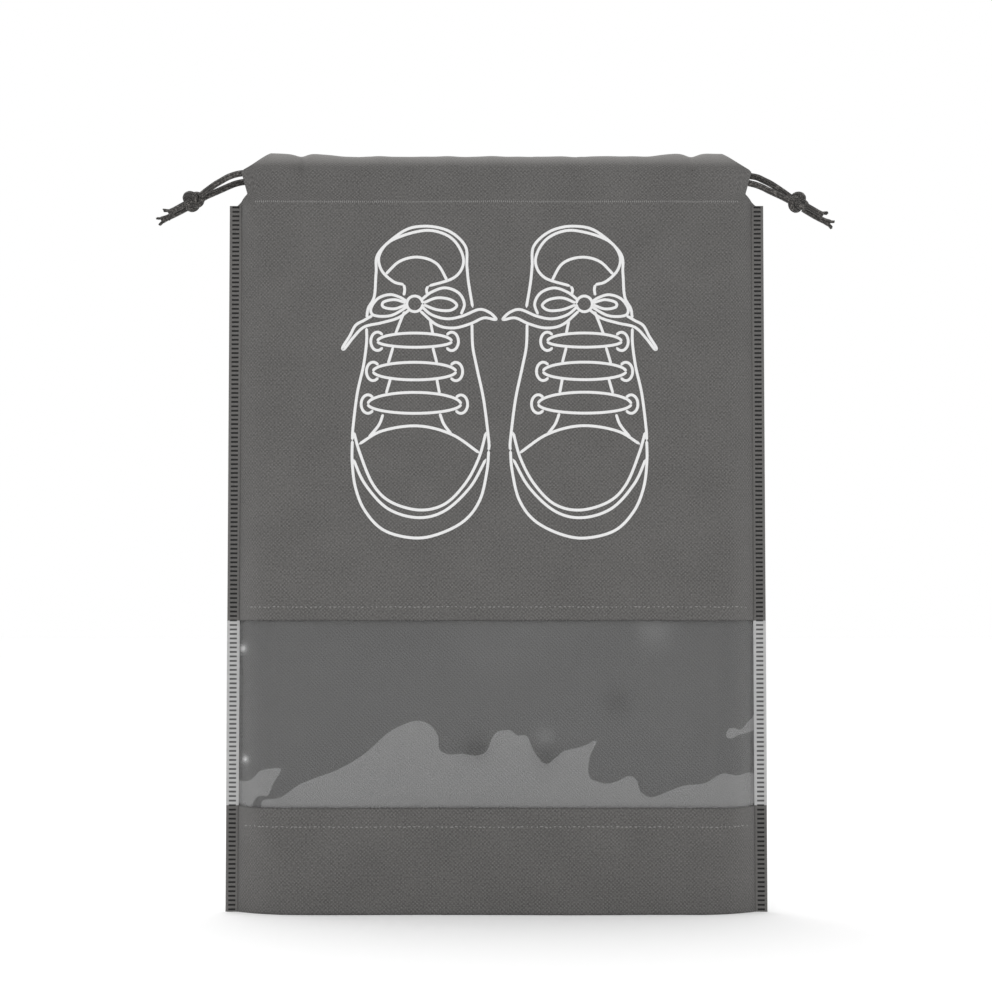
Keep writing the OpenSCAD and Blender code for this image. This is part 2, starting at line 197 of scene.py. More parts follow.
class Wire:
    """An output of a shader node. Arithmetic on it adds Math nodes to the same material."""

    def __init__(self, tree, socket=None):
        self.tree = tree
        self.socket = socket

    def node(self, kind, settings=(), values=(), output=0):
        """Adds a node: its settings, then its sockets' values or links. Returns an output."""
        made = self.tree.nodes.new(kind)
        for name, value in dict(settings).items():
            setattr(made, name, value)
        for name, value in dict(values).items():
            if isinstance(value, Wire):
                self.tree.links.new(value.socket, made.inputs[name])
            else:
                made.inputs[name].default_value = value
        return Wire(self.tree, made.outputs[output])

    def math(self, operation, *others):
        return self.node("ShaderNodeMath", {"operation": operation}, enumerate((self, *others)))

    def __add__(self, other):
        return self.math("ADD", other)

    __radd__ = __add__

    def __sub__(self, other):
        return self.math("SUBTRACT", other)

    def __rsub__(self, other):
        return self * -1 + other

    def __mul__(self, other):
        return self.math("MULTIPLY", other)

    __rmul__ = __mul__

    def ease(self, low, high):
        """Smooth step of this value from low to high."""
        values = {"Value": self, "From Min": low, "From Max": high}
        return self.node("ShaderNodeMapRange", {"interpolation_type": "SMOOTHSTEP"}, values)

    def noise(self, spacing, detail=2.0, roughness=0.5):
        """Soft noise over this vector in metres, its lumps about the given spacing apart."""
        values = {"Vector": self, "Scale": 1 / spacing, "Detail": detail, "Roughness": roughness}
        return self.node("ShaderNodeTexNoise", {}, values)

    def part(self, index):
        """One component of this vector."""
        return self.node("ShaderNodeSeparateXYZ", (), {0: self}, index)

    def mark(self, name):
        """A value that the mesh carries at its points."""
        return self.node("ShaderNodeAttribute", {"attribute_name": name}, (), 2)

    def tint(self, low, high):
        """A mix of two colours by this value, low at 0 and high at 1. Each is three numbers or
        the output of another node."""
        low, high = (end if isinstance(end, Wire) else (*end, 1) for end in (low, high))
        return self.node("ShaderNodeMix", {"data_type": "RGBA"}, {0: self, 6: low, 7: high}, 2)

    def relief(self, depth, strength=1.0):
        """A bump that stands depth metres proud where this value is 1."""
        values = {"Height": self, "Distance": depth, "Strength": strength}
        return self.node("ShaderNodeBump", {}, values)

    def into(self, shader, socket):
        self.tree.links.new(self.socket, shader.inputs[socket])


def new_finish(name, **constants):
    """A material whose shader takes these constants, its shader, and its cloth lengths."""
    material = bpy.data.materials.new(name)
    material.use_nodes = True
    shader = material.node_tree.nodes["Principled BSDF"]
    for socket, value in constants.items():
        shader.inputs[socket.replace("_", " ")].default_value = value
    cloth = Wire(material.node_tree).node("ShaderNodeUVMap", {"uv_map": "cloth"})
    return material, shader, cloth


def grey(srgb, warmth=0.0):
    """A near neutral colour whose brightness is given from 0 to 255 as it looks on paper."""
    level = srgb / 255
    linear = ((level + 0.055) / 1.055) ** 2.4 if level > 0.04045 else level / 12.92
    return (linear * (1 + warmth), linear, linear * (1 - warmth))


felt, shader, cloth = new_finish("felted_fabric", Roughness=0.88, Sheen_Weight=0.1,
                                 Sheen_Roughness=0.5)
# A slanting lattice of bonded points lies on a fibrous ground, with specks and faint clouds.
# The points are cosines along the two diagonals. A painted highlight pales the crest of each hem,
# and painted shade darkens the front cut edges at the window.
POINT_SPACING = 0.0016
turns = 2 * math.pi / (POINT_SPACING * math.sqrt(2))
rising = ((cloth.part(0) + cloth.part(1)) * turns).math("COSINE")
falling = ((cloth.part(0) - cloth.part(1)) * turns).math("COSINE")
points = (rising + falling).ease(-0.6, 1.6)
fibres = cloth.noise(0.0012, 3.0, 0.7)
specks = cloth.noise(0.0045, 3.0).ease(0.35, 0.65)
clouds = cloth.noise(0.03, 3.0)
tone = 0.5 + (fibres - 0.5) * 1.9 + (clouds - 0.5) * 0.35 + (points - 0.35) * (specks * 0.45 + 0.1)
# This mark is painted light: a painted highlight on the hem crests and painted shade along the
# front cut edges of the window.
fold = cloth.mark("fold")
ground = (tone + fold * 0.8).tint(grey(67, 0.03), grey(105, 0.03))
(fold * 0.9).tint(ground, grey(128, 0.03)).into(shader, "Base Color")
(0.94 - points * 0.16).into(shader, "Roughness")
(fibres + points * 0.45).relief(0.0003, 0.6).into(shader, "Normal")

left_cols = spread(-SEAM_X, 8, -SEAM_X + 0.006, 12, -SEAM_X + 0.026, 58, 0)
wide_cols = np.concatenate([left_cols, -left_cols[-2::-1]])
HALVES = {"left": -1, "right": 1}


def follow_cord(piece):
    """Bakes the piece's placing into its points, leaving it where it stands."""
    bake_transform(piece)


def wall_piece(name, node, cols, rows, side):
    """A sheet of felt between the given columns and rows of a wall, standing for its node."""
    points = wall(*np.meshgrid(cols, rows), side)
    middle = int(np.argmin(np.abs(cols)))
    # Painted shade: the front cut edges at the window get a dark line through the mark, standing
    # for the shadow gap there.
    cut = np.min(np.abs(points[..., 2:] - [BAND_TOP, WINDOW_TOP]), axis=-1) < 0.0005
    piece = make_piece(name, [(points, lengths(points, middle))], felt, flip=side > 0,
                       marks={"fold": -0.5 * cut * (side < 0)})
    thicken(piece, FABRIC_T)
    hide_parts(node)
    return piece


under_rows = spread(0, 8, BASE_R, 5, 0.012)
band_rows = np.concatenate([under_rows, spread(0.0145, 20, BAND_TOP - 0.0008, 2, BAND_TOP)])
band = wall_piece("front_lower_band_felt", "front_lower_band", wide_cols, band_rows, -1)
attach(band, "bag")

for word, half in HALVES.items():
    cols = left_cols if half < 0 else -left_cols[::-1]
    back_rows = np.concatenate([under_rows, spread(0.0145, 160, WALL_TOP)])
    back = wall_piece(f"back_panel_{word}", "back_panel", cols, back_rows, 1)
    upper = wall_piece(f"front_upper_panel_{word}", "front_upper_panel", cols,
                       spread(WINDOW_TOP, 2, WINDOW_TOP + 0.0008, 100, WALL_TOP), -1)
    for piece, height in ((back, WALL_TOP), (upper, WALL_TOP - WINDOW_TOP)):
        follow_cord(piece)

# The base is the same cut of felt between its two folds. It lies flat on the floor and
# narrows to the side seams.

front_fold = wall(wide_cols, np.zeros_like(wide_cols), -1)
back_fold = wall(wide_cols, np.zeros_like(wide_cols), 1)
across_base = np.linspace(0, 1, 17)[:, None, None]
base_points = front_fold * (1 - across_base) + back_fold * across_base
base_grid = (base_points, lengths(base_points, len(left_cols) - 1))
base = make_piece("base_fold_felt", [base_grid], felt, flip=True)
thicken(base, FABRIC_T)
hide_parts("base_fold")
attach(base, "bag")

# ---- Clear window ----
# A strip of clear film is welded behind the felt above and below. Between the welds it sits
# a little behind the cut edges, and low down a painted reflection pales it in one wide patch and
# two small ones, with a few soft paler and darker spots; one darker spot is painted shade in a dip.

FILM_T = 0.0002
FILM_LOW, FILM_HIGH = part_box("window_film")[0].z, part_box("window_film")[1].z


def curve_through(points, steps):
    """A Catmull-Rom curve: between two neighbours it is the cubic whose slopes there are half
    the step from the point before to the point after, and it is sampled at equal shares."""
    p = np.asarray(points, float)
    p = np.concatenate([[2 * p[0] - p[1]], p, [2 * p[-1] - p[-2]]])
    a, b, c, d = p[:-3, None], p[1:-2, None], p[2:-1, None], p[3:, None]
    t = np.linspace(0, 1, steps, endpoint=False)[None, :, None]
    square, cube = 2 * a - 5 * b + 4 * c - d, 3 * b - a - 3 * c + d
    cubic = 2 * b + (c - a) * t + square * t**2 + cube * t**3
    return np.concatenate([cubic.reshape(-1, p.shape[1]) / 2, p[-2:-1]])


def depth_inside(x, z, outline):
    """How far points lie inside a closed outline, negative outside: the distance to its
    nearest side, signed by whether a ray to the right crosses the outline an odd number
    of times."""
    near, crossings = np.full(x.shape, np.inf), np.zeros(x.shape, int)
    for (x0, z0), (x1, z1) in zip(outline, np.roll(outline, -1, axis=0)):
        dx, dz = x1 - x0, z1 - z0
        share = np.clip(((x - x0) * dx + (z - z0) * dz) / max(dx * dx + dz * dz, 1e-12), 0, 1)
        near = np.minimum(near, np.hypot(x - x0 - share * dx, z - z0 - share * dz))
        if z0 != z1:
            spans = (z0 > z) != (z1 > z)
            crossings += spans & (x < x0 + (z - z0) / dz * dx)
    return np.where(crossings % 2 == 1, near, -near)


# Outlines of the painted reflection on the film, in millimetres
wide_reflection = np.array([
    (-137, 58), (-136.5, 66.5), (-126, 68.5), (-116, 75.5), (-104, 80.5), (-92, 85),
    (-77.5, 93.5), (-63.5, 106), (-54, 111), (-46, 113.2), (-38.5, 110.5), (-34, 103.5),
    (-33.5, 96.5), (-28, 93.6), (-20, 94), (-11.5, 93), (-5.5, 96), (-3, 102.5),
    (1, 107), (8, 107.6), (12, 104.7), (18, 104),
    (22, 95), (28.5, 88), (35, 92), (39.5, 95.5), (50, 98), (58.5, 101.5), (54.5, 92), (54, 81),
    (60, 77.3), (67, 76.7), (77.5, 81), (82, 78), (84, 72), (90.5, 68.5), (100, 72), (110, 75.5),
    (121.5, 76.7), (131.5, 82.5), (140, 81), (153, 80.5), (154, 58),
]) / 1000
left_reflection = np.array([
    (-154, 58), (-154, 75.5), (-147, 77), (-142.5, 79.5), (-138.5, 83.7), (-132, 85.3),
    (-125.5, 85), (-130, 77), (-133.5, 69.5), (-139.5, 69), (-143.5, 63), (-144, 58),
]) / 1000
right_reflection = np.array([
    (154, 117), (151.5, 114.6), (148, 111.7), (143.5, 107.6), (139, 108.8), (135.5, 108.3),
    (134.2, 104), (137.5, 102.5), (142, 104.7), (147, 105.3), (154, 107),
]) / 1000
# Soft spots on the film, in millimetres: where, how wide, and how much paler or darker. The one at
# (-12, 97) is painted shade in a dip; the two strongest are almost white.
film_spots = [(93, 165, 10, 0.32), (70, 124, 8, -0.30), (-12, 97, 8, -0.35), (28, 104, 6, 0.35),
         (29, 93, 8, -0.25), (-150, 155, 2.8, 1.5), (-148, 90, 2.4, 1.5)]

film_rows = np.concatenate([
    spread(FILM_LOW, 14, BAND_TOP - 0.001), spread(BAND_TOP, 84, WINDOW_TOP),
    spread(WINDOW_TOP + 0.001, 14, FILM_HIGH),
])
film_cols = spread(-SEAM_X, 190, SEAM_X)
film_x, film_z = np.meshgrid(film_cols, film_rows)
slack = 0.001 * ease((film_z - LOWER_WELD) / 0.008) * ease((UPPER_WELD - film_z) / 0.006)
bare = ease((film_z - BAND_TOP) / 0.002) * ease((WINDOW_TOP - film_z) / 0.002)
behind = (FABRIC_T + 0.0001 + slack) * (1 - bare * (1 - ease((SEAM_X - np.abs(film_x)) / 0.005)))
# How far each point lies inside the painted reflection, and the spots, one of them painted shade
painted_reflection = np.max([depth_inside(film_x, film_z, curve_through(edge, 4))
                for edge in (wide_reflection, left_reflection, right_reflection)], axis=0)
spot_and_painted_shade = sum(
    much * np.exp(-((1000 * film_x - x) ** 2 + (1000 * film_z - z) ** 2) / wide**2)
    for x, z, wide, much in film_spots
)

clear, shader, cloth = new_finish("clear_film", Roughness=0.1, IOR=1.6)
# Colour, alpha and roughness from the painted reflection patch and the spots, one of which is
# painted shade.
spotted = cloth.mark("spot_and_painted_shade")
reflection_patch = cloth.mark("painted_reflection").ease(-0.0003, 0.0003)
haze = cloth.noise(0.02, 3.0)
veil = reflection_patch * 0.16 + spotted * (0.35 - reflection_patch * 0.1) + haze * 0.03
(veil + 0.30).math("MAXIMUM", 0.05).into(shader, "Alpha")
reflection_and_spot_colour = (reflection_patch + spotted * 0.8).tint(grey(120), grey(149))
spotted.ease(0.6, 2.0).tint(reflection_and_spot_colour, grey(215)).into(shader, "Base Color")
(0.1 + reflection_patch * 0.25 + haze * 0.05).into(shader, "Roughness")
cloth.noise(0.014, 1.0).relief(0.0006, 0.1).into(shader, "Normal")

film_points = wall(film_x, film_z, -1, behind)
film = make_piece("window_film_sheet", [(film_points, lengths(film_points, 95))], clear,
                  marks={"painted_reflection": painted_reflection, "spot_and_painted_shade": spot_and_painted_shade})
thicken(film, FILM_T)
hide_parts("window_film")
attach(film, "bag")

# ---- Cord channels ----
# The top of each wall is folded inwards and down and welded at its foot, which makes a soft
# tube. Both its ends are cut back, so that the cords can come out at the shoulders, and the
# inner layer is shorter than the outer. The fold stands higher near its ends.

INNER_END = 0.138
HEM_OPEN = 0.007
hem_section = curve_through(np.array([
    (11.0, 419.5), (11.4, 424), (11.8, 430), (11.8, 437), (11.2, 443), (10.1, 447.3), (8.6, 449.4),
    (7.25, 450), (5.9, 449.3), (4.5, 446.6), (3.8, 441), (3.6, 434), (5.2, 427), (8.6, 421.5),
    (10.2, 419.9),
]) / 1000, 4)
CREST = 28
DIP_X = 0.1165


def mouth_line(x):
    """How far the fold lies below its highest, in metres: a long dip across the middle, a
    short one near each end, and the pleats."""
    away = np.abs(x)
    middle = 0.0016 * (1 - ease((away - 0.09) / 0.02))
    return middle + 0.0013 * np.exp(-(((away - DIP_X) / 0.0045) ** 2)) - 0.00025 * gathers(x)


def hem(fraction, side):
    """A hem over its section's points (rows) and fractions of its half length (columns). Each
    row ends on the outline that the ends are cut to. Depth turns in to the seam at the foot
    and stays open above it, and the waves, the pleats and the mouth line are added."""
    y, z = hem_section[:, :1], hem_section[:, 1:]
    outer = np.interp(z, [0.4195, 0.4252, 0.4392, 0.45], [0.1555, 0.1484, 0.1522, 0.1345])
    inner = np.interp(z, [0.4195, 0.45], [INNER_END, 0.1345])
    row = np.arange(len(z))[:, None]
    x = fraction * np.where(row <= CREST, outer, inner)
    opened = ease((z - WALL_TOP) / HEM_OPEN)
    tube = 1 - 0.14 * ease((np.abs(x) - 0.13) / 0.022)
    edge = SEAM_FRONT if side < 0 else SEAM_BACK
    skin = np.where(row <= CREST, 1, 0.35)
    crease = 0.0022 * np.exp(-(((np.abs(x) - DIP_X) / 0.0035) ** 2)) * ease((z - 0.424) / 0.018)
    turned = turn(x, z) * (1 - opened) + tube * opened
    depth = (y - edge - crease + swell(x, z, side) * skin) * turned
    drop = mouth_line(x) * ease((z - 0.4265) / 0.0235)
    return np.stack([x, side * (edge + depth), z - drop], -1)


half_fractions = spread(1, 14, 0.86, 72, 0)
for side, name in ((-1, "front_cord_channel"), (1, "back_cord_channel")):
    for word, half in HALVES.items():
        fraction = half * (half_fractions if half < 0 else half_fractions[::-1])
        points = hem(fraction[None, :], side)
        uv = lengths(points, 0 if half > 0 else len(fraction) - 1)
        # The mark paints a highlight along the crest of each hem's fold, strongest at the top.
        piece = make_piece(f"{name}_{word}", [(points, uv)], felt, flip=side > 0,
                           marks={"fold": ease((points[..., 2] - BAG_TOP + 0.009) / 0.0085)})
        thicken(piece, FABRIC_T)
        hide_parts(name)
        follow_cord(piece)

# ---- Side seams ----
# The walls are welded together down each side by a toothed wheel, which leaves a ladder of
# short dents. Beside the window the film lies on top of the felt and the weld whitens it.

RUNG_PITCH = 0.00266
RUNG_T = 0.0011
RUNG_DEPTH = 0.00025
RUNG_IN, RUNG_OUT = 0.0015, 0.0060
SEAM_FILM_T = 0.00008


def rung(x, z):
    """How far a point lies in a dent, from 0 to 1: flat topped rungs with sloping sides."""
    beside = np.abs(x) - SEAM_X
    along = ease((beside - RUNG_IN) / 0.0003) * ease((RUNG_OUT - beside) / 0.0003)
    away = np.abs((z / RUNG_PITCH) % 1 - 0.5) * RUNG_PITCH
    return along * ease((RUNG_T / 2 + 0.0001 - away) / 0.0002)


def seam_rows(low, high):
    """Heights of a seam's rows: six to each rung, set close together at its two edges."""
    steps = np.array([0, 0.27, 0.32, 0.5, 0.68, 0.73])
    rows = (np.arange(0, 170)[:, None] + steps).ravel() * RUNG_PITCH
    return np.concatenate([[low], rows[(rows > low + 0.0002) & (rows < high - 0.0002)], [high]])


strip_cols = SEAM_X + np.array([0, 0.8, 1.5, 1.8, 3.8, 5.7, 6.0, 6.8, 7.4]) / 1000
seam_finish, shader, cloth = new_finish("welded_seam", Specular_IOR_Level=0.25)
dent = cloth.mark("dent")
fibres = cloth.noise(0.0009, 3.0, 0.7)
ground = (fibres * 1.6 - 0.3).tint(grey(86, 0.03), grey(112, 0.03))
pressed = fibres.tint(grey(6, 0.03), grey(26, 0.03))
dent.ease(0.2, 0.8).tint(ground, pressed).into(shader, "Base Color")
(0.85 - dent * 0.4).into(shader, "Roughness")
fibres.relief(0.0002, 0.5).into(shader, "Normal")

milky, shader, cloth = new_finish("whitened_film", Roughness=0.3, IOR=1.5)
dent = cloth.mark("dent")
cloudy = cloth.noise(0.004, 2.0)
pale = cloudy.tint(grey(166), grey(186))
dent.ease(0.2, 0.8).tint(pale, grey(78)).into(shader, "Base Color")
(0.3 + dent * 0.2 + cloudy * 0.1).into(shader, "Roughness")
cloth.noise(0.0012, 2.0).relief(0.0001, 0.3).into(shader, "Normal")

for word, half in HALVES.items():
    rows = seam_rows(0, WALL_TOP + 0.0003)
    x = half * np.concatenate([strip_cols, [HALF_W], strip_cols[::-1], [SEAM_X]])
    face = np.concatenate([np.full(9, -SEAM_FRONT), [0], np.full(9, SEAM_BACK), [0]])
    strip_x, strip_z = np.meshgrid(x, rows)
    dents = rung(strip_x, strip_z)
    strip_y = face - np.sign(face) * dents * RUNG_DEPTH
    strip = np.stack([strip_x, strip_y, strip_z], -1)
    uv = lengths(np.concatenate([strip, strip[:, :1]], axis=1))
    piece = make_piece(f"{word}_side_seam_felt", [(strip, uv)], seam_finish, ring=True,
                       marks={"dent": dents})
    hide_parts(f"{word}_side_seam")
    follow_cord(piece)

    rows = seam_rows(BAND_TOP, WINDOW_TOP)
    x = half * np.concatenate([strip_cols, [HALF_W]])
    x = x if half > 0 else x[::-1]
    strip_x, strip_z = np.meshgrid(x, rows)
    dents = rung(strip_x, strip_z)
    strip_y = -SEAM_FRONT - 0.0001 + dents * RUNG_DEPTH
    strip = np.stack([strip_x, strip_y, strip_z], -1)
    piece = make_piece(f"{word}_side_seam_film", [(strip, lengths(strip))], milky,
                       marks={"dent": dents})
    thicken(piece, SEAM_FILM_T)
    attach(piece, "bag")

# ---- Weld lines ----
# A row of small pads, pressed by a hot wheel, closes each hem at its foot and holds the film
# above and below the window. They stand a little proud and catch the light.


def ribbon(x, z, width, height, side):
    """A closed flat band that follows a line on a wall: at each point a section of six, level
    on top and tucked under the surface at its edges, whose width closes round at both ends."""
    step = np.hypot(np.gradient(x), np.gradient(z))
    nx, nz = -np.gradient(z) / step, np.gradient(x) / step
    run = np.concatenate([[0], np.cumsum(np.hypot(np.diff(x), np.diff(z)))])
    left = np.minimum(run, run[-1] - run) / (width / 2)
    half = width / 2 * np.sqrt(np.clip(1 - (1 - np.clip(left, 0.02, 1)) ** 2, 0, 1))
    off = half[:, None] * np.array([-1, -0.78, 0.78, 1, 0.8, -0.8])
    proud = height * np.array([-0.2, 1, 1, -0.2, -0.5, -0.5])[None, :] * np.ones_like(off)
    x_off, z_off = x[:, None] + nx[:, None] * off, z[:, None] + nz[:, None] * off
    around = np.tile(np.arange(7) * width / 6, (len(x), 1))
    uv = np.stack([around, np.tile(run[:, None], (1, 7))], -1)
    return wall(x_off, z_off, side, -proud), uv


fused, shader, cloth = new_finish("fused_pads", Roughness=0.45, Sheen_Weight=0.1)
grain = cloth.noise(0.0006, 3.0, 0.7)
grain.tint(grey(102, 0.02), grey(146, 0.02)).into(shader, "Base Color")
(0.4 + grain * 0.3).into(shader, "Roughness")
grain.relief(0.00008, 0.5).into(shader, "Normal")

HEM_PAD_PITCH = 0.0012
HEM_PAD_W = 0.0006
WINDOW_PAD_PITCH = 0.00275
WINDOW_PAD_W = 0.0007
PAD_T = 0.00012
rng = np.random.default_rng(5)
for side, name in ((-1, "front_channel_weld"), (1, "back_channel_weld")):
    low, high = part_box(name)
    for word, half in HALVES.items():
        count = int(high.x / HEM_PAD_PITCH)
        where = half * (np.arange(count) + 0.5) * HEM_PAD_PITCH
        tall = rng.uniform(0.0005, 0.0009, count)
        middle = (low.z + high.z) / 2
        pads = [
            ribbon(np.full(4, x), middle + np.linspace(-t, t, 4), HEM_PAD_W, PAD_T, side)
            for x, t in zip(where, tall)
        ]
        piece = make_piece(f"{name}_{word}", pads, fused, ring=True)
        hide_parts(name)
        follow_cord(piece)

for name, height in (("window_top_weld", UPPER_WELD), ("window_bottom_weld", LOWER_WELD)):
    count = int(2 * (SEAM_X - 0.003) / WINDOW_PAD_PITCH)
    where = (np.arange(count) - (count - 1) / 2) * WINDOW_PAD_PITCH
    where += rng.uniform(-0.0004, 0.0004, count)
    long = rng.uniform(0.0003, 0.0011, count)
    rise = rng.uniform(-0.0002, 0.0002, count)
    pads = [
        ribbon(x + np.linspace(-t, t, 4), np.full(4, height + r), WINDOW_PAD_W, PAD_T, -1)
        for x, t, r in zip(where, long, rise)
    ]
    piece = make_piece(f"{name}_pads", pads, fused, ring=True)
    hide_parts(name)
    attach(piece, "bag")

# ---- Print ----
# A pair of laced shoes, toes down and soles outwards, is screen printed in white ink on the
# upper front. Every line is a raised film of ink about a tenth of a millimetre thick.

LINE_W = 0.0018
INK_T = 0.00012
SHOE_SHIFT = 0.0018
SHOE_GAP = 0.1008
SHOE_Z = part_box("left_shoe_print")[0].z + LINE_W / 2
# Curves in millimetres right of a shoe's centre line and above the tip of its sole
shoe_lines = [
    # collar, and the sides, rim and tongue of the opening
    [(-28.5, 131), (-27.5, 137), (-24, 144), (-23, 158), (-21.5, 170), (-7, 183), (6, 186),
     (20, 183), (30, 174), (31, 162), (32, 152), (34.5, 137)],
    [(-6.5, 144.5), (-6, 148), (-6.5, 151)],
    [(-6.5, 151), (-13, 153), (-20, 160), (-21, 169), (-13, 178), (7, 183.5), (22, 178.5),
     (29, 166), (24, 155.5), (8, 150)],
    [(8, 150), (7, 148), (7.5, 145)],
    [(-17.5, 157), (-9, 165), (2, 167.5), (13, 163.5), (19.5, 153)],
    # sides of the upper, sole, toe cap and rim
    [(-28.5, 125), (-28.5, 116), (-30.3, 102), (-33.8, 86), (-36.2, 66), (-36.6, 58)],
    [(34, 128), (34.5, 114), (37, 101), (41, 82), (44, 58), (44, 52)],
    [(-36.6, 58), (-36.6, 45), (-34.6, 30), (-28.8, 16), (-17.5, 4.5), (0, 0), (15, 2.5),
     (30, 10.5), (39, 23), (43, 40), (44, 52)],
    [(-32.8, 55.5), (-19, 63.5), (2, 66.5), (22, 61.5), (39, 50)],
    [(-35.8, 63), (-32, 50), (-24.4, 32), (-14, 21.5), (3, 16.5), (18, 20), (30, 32), (38, 47),
     (42.5, 63)],
    [(-36.1, 47), (-29, 32), (-15.6, 17.5), (2, 12), (18, 16), (33, 30), (42.5, 47)],
    [(-18.5, 73.5), (-21, 67), (-27, 59.5)],
    [(15, 74), (17.5, 67.5), (22, 61.5)],
    # edges of the lace holes' stays between the laces
    [(-14, 95.5), (-17, 85)], [(13, 95.5), (15, 85)], [(-12.5, 114.5), (-16, 102.5)],
    [(10.5, 114.5), (13.5, 103)], [(-6, 135), (-8.5, 129), (-11.5, 121)], [(9, 130.5), (11, 120.5)],
    # loops of the bow and the loose ends of the lace
    [(-4, 140.5), (-9, 143.5), (-15, 145), (-22, 142.5), (-26, 136.5), (-24, 132.5),
     (-14, 132.5), (-4, 138)],
    [(4, 142), (10, 146.5), (18, 149), (26, 146), (29.5, 139.5), (27.5, 133)],
    [(-5, 140), (-12, 142), (-18.5, 140.5), (-18.5, 137.5), (-12, 136.5), (-5, 139)],
    [(5, 140), (13, 143), (21, 142), (25, 138.5), (21, 135.5), (13, 136), (5, 139)],
    [(-25, 132.5), (-30, 129.5), (-35, 126.5), (-38.5, 120), (-42.5, 113.5), (-41.5, 112.5),
     (-36.5, 119), (-30, 125.5), (-20, 128), (-10, 131), (-3, 136)],
    [(4, 138), (10, 133), (19, 130.5), (28, 132), (38, 136), (44, 134.5), (48, 131), (47.5, 130),
     (41, 131), (33, 127.5), (23, 125), (13, 127), (3, 135.5)],
]
# Laces across the tongue: height, half width, and rise of the upper and lower arcs
laces = [(117, 22, 5, 3.5), (99, 24.5, 5.5, 5), (79.5, 27.5, 7, 5.5)]
EYELET = (4, 5.5)
EYELET_REACH = 140
BOW_KNOT = (0, 139.5)
BOW_KNOT_R = 4.7


def arc(centre, radii, start, stop, count):
    """Points of an ellipse about a centre, from the start angle to the stop angle, degrees."""
    a = np.radians(np.linspace(start, stop, count))
    return np.stack([centre[0] + radii[0] * np.cos(a), centre[1] + radii[1] * np.sin(a)], -1)


strokes = [curve_through(line, 10 if len(line) > 2 else 6) for line in shoe_lines]
for height, reach, rise, fall in laces:
    strokes.append(arc((0, height), (reach, rise), 0, 180, 60))
    strokes.append(arc((0, height), (reach, fall), 180, 360, 60))
    for end, facing in ((reach, 0), (-reach, 180)):
        strokes.append(arc((end, height), EYELET, facing - EYELET_REACH, facing + EYELET_REACH, 30))
strokes.append(arc(BOW_KNOT, (BOW_KNOT_R, BOW_KNOT_R), 0, 360, 40))

ink, shader, cloth = new_finish("white_ink", IOR=1.45)
place = cloth.node("ShaderNodeTexCoord", (), (), 3)
weave = place.noise(0.0007, 3.0, 0.7)
worn = place.noise(0.006, 2.0)
(weave * 0.7 + worn * 0.3).tint(grey(205), grey(245)).into(shader, "Base Color")
(0.45 + weave * 0.2).into(shader, "Roughness")
weave.relief(0.00015, 0.5).into(shader, "Normal")

for word, half in HALVES.items():
    centre = SHOE_SHIFT + half * SHOE_GAP / 2
    bands = []
    for order, stroke in enumerate(strokes):
        x, z = centre - half * stroke[:, 0] / 1000, SHOE_Z + stroke[:, 1] / 1000
        bands.append(ribbon(x, z, LINE_W, INK_T + order * 1e-6, -1))
    piece = make_piece(f"{word}_shoe_print_ink", bands, ink, ring=True)
    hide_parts(f"{word}_shoe_print")
    follow_cord(piece)

# ---- Drawcords ----
# Two limp braided cords, each one loop. It leaves its knot, runs through the front channel,
# turns at the far end of the mouth and comes back through the back channel to the knot.

CORD_D = 0.0038
PLAITS = 8
PLAIT_PITCH = 0.0052
routes = {
    "left": [
        (-178, -1.5, 425.5), (-174, -2.5, 428.5), (-169, -3.7, 431.9), (-160, -5.5, 436.7),
        (-155, -6.5, 438.1), (-146, -7, 439), (0, -7, 439.5), (138, -7, 439.5), (141.5, -6, 439),
        (144, -3.5, 438.5), (145, 0, 437.5), (144, 3.5, 437), (141.5, 6, 436.5), (138, 7, 436),
        (0, 7, 436), (-146, 7, 436.2), (-155, 6.5, 435.4), (-160, 5.5, 433.4), (-169, 3.5, 428.9),
        (-174, 2.5, 426.5), (-178, 2, 424),
    ],
    "right": [
        (177, -2, 422), (174, -2.5, 423.5), (169, -3.5, 425.8), (164, -4.5, 427.8),
        (157, -6.2, 431), (146, -7, 433.7), (0, -7, 434), (-138, -7, 434), (-141.5, -6, 434.5),
        (-144, -3.5, 435.5), (-145, 0, 437.5), (-144, 3.5, 439.5), (-141.5, 6, 440.5),
        (-138, 7, 441), (0, 7, 441), (146, 7, 440.6), (157, 6.2, 438.5), (164, 4.5, 434.8),
        (169, 3.5, 431.4), (174, 2.5, 427.6), (177, 1.5, 425),
    ],
}
tail_routes = {
    "left": [
        [(-185.5, -1, 421.5), (-191.5, -2, 418), (-196.5, -2, 415)],
        [(-185, 2, 419.5), (-192, 2, 415.8), (-197.5, 2, 413.2), (-201.5, 2, 411.5)],
    ],
    "right": [
        [(184.5, -1, 420.5), (190.5, -2, 416.8), (195.5, -2, 413.6)],
        [(184, 2, 418.5), (191, 2, 414.2), (196.5, 2, 411.4), (200.5, 2, 409.6)],
    ],
}


def at_stations(path, stations):
    """The points of a path at the given distances from its start."""
    run = np.concatenate([[0], np.cumsum(np.linalg.norm(np.diff(path, axis=0), axis=1))])
    return np.stack([np.interp(stations, run, path[:, k]) for k in range(3)], -1)


def smoothed(points):
    """A smooth path past points in millimetres: laid out in even steps of about 4 mm, so that
    long and short stretches meet without a kick, and then curved through them."""
    points = np.array(points) / 1000
    reach = np.linalg.norm(np.diff(points, axis=0), axis=1).sum()
    even = at_stations(points, np.linspace(0, reach, max(4, round(reach / 0.004))))
    return curve_through(even, 8)


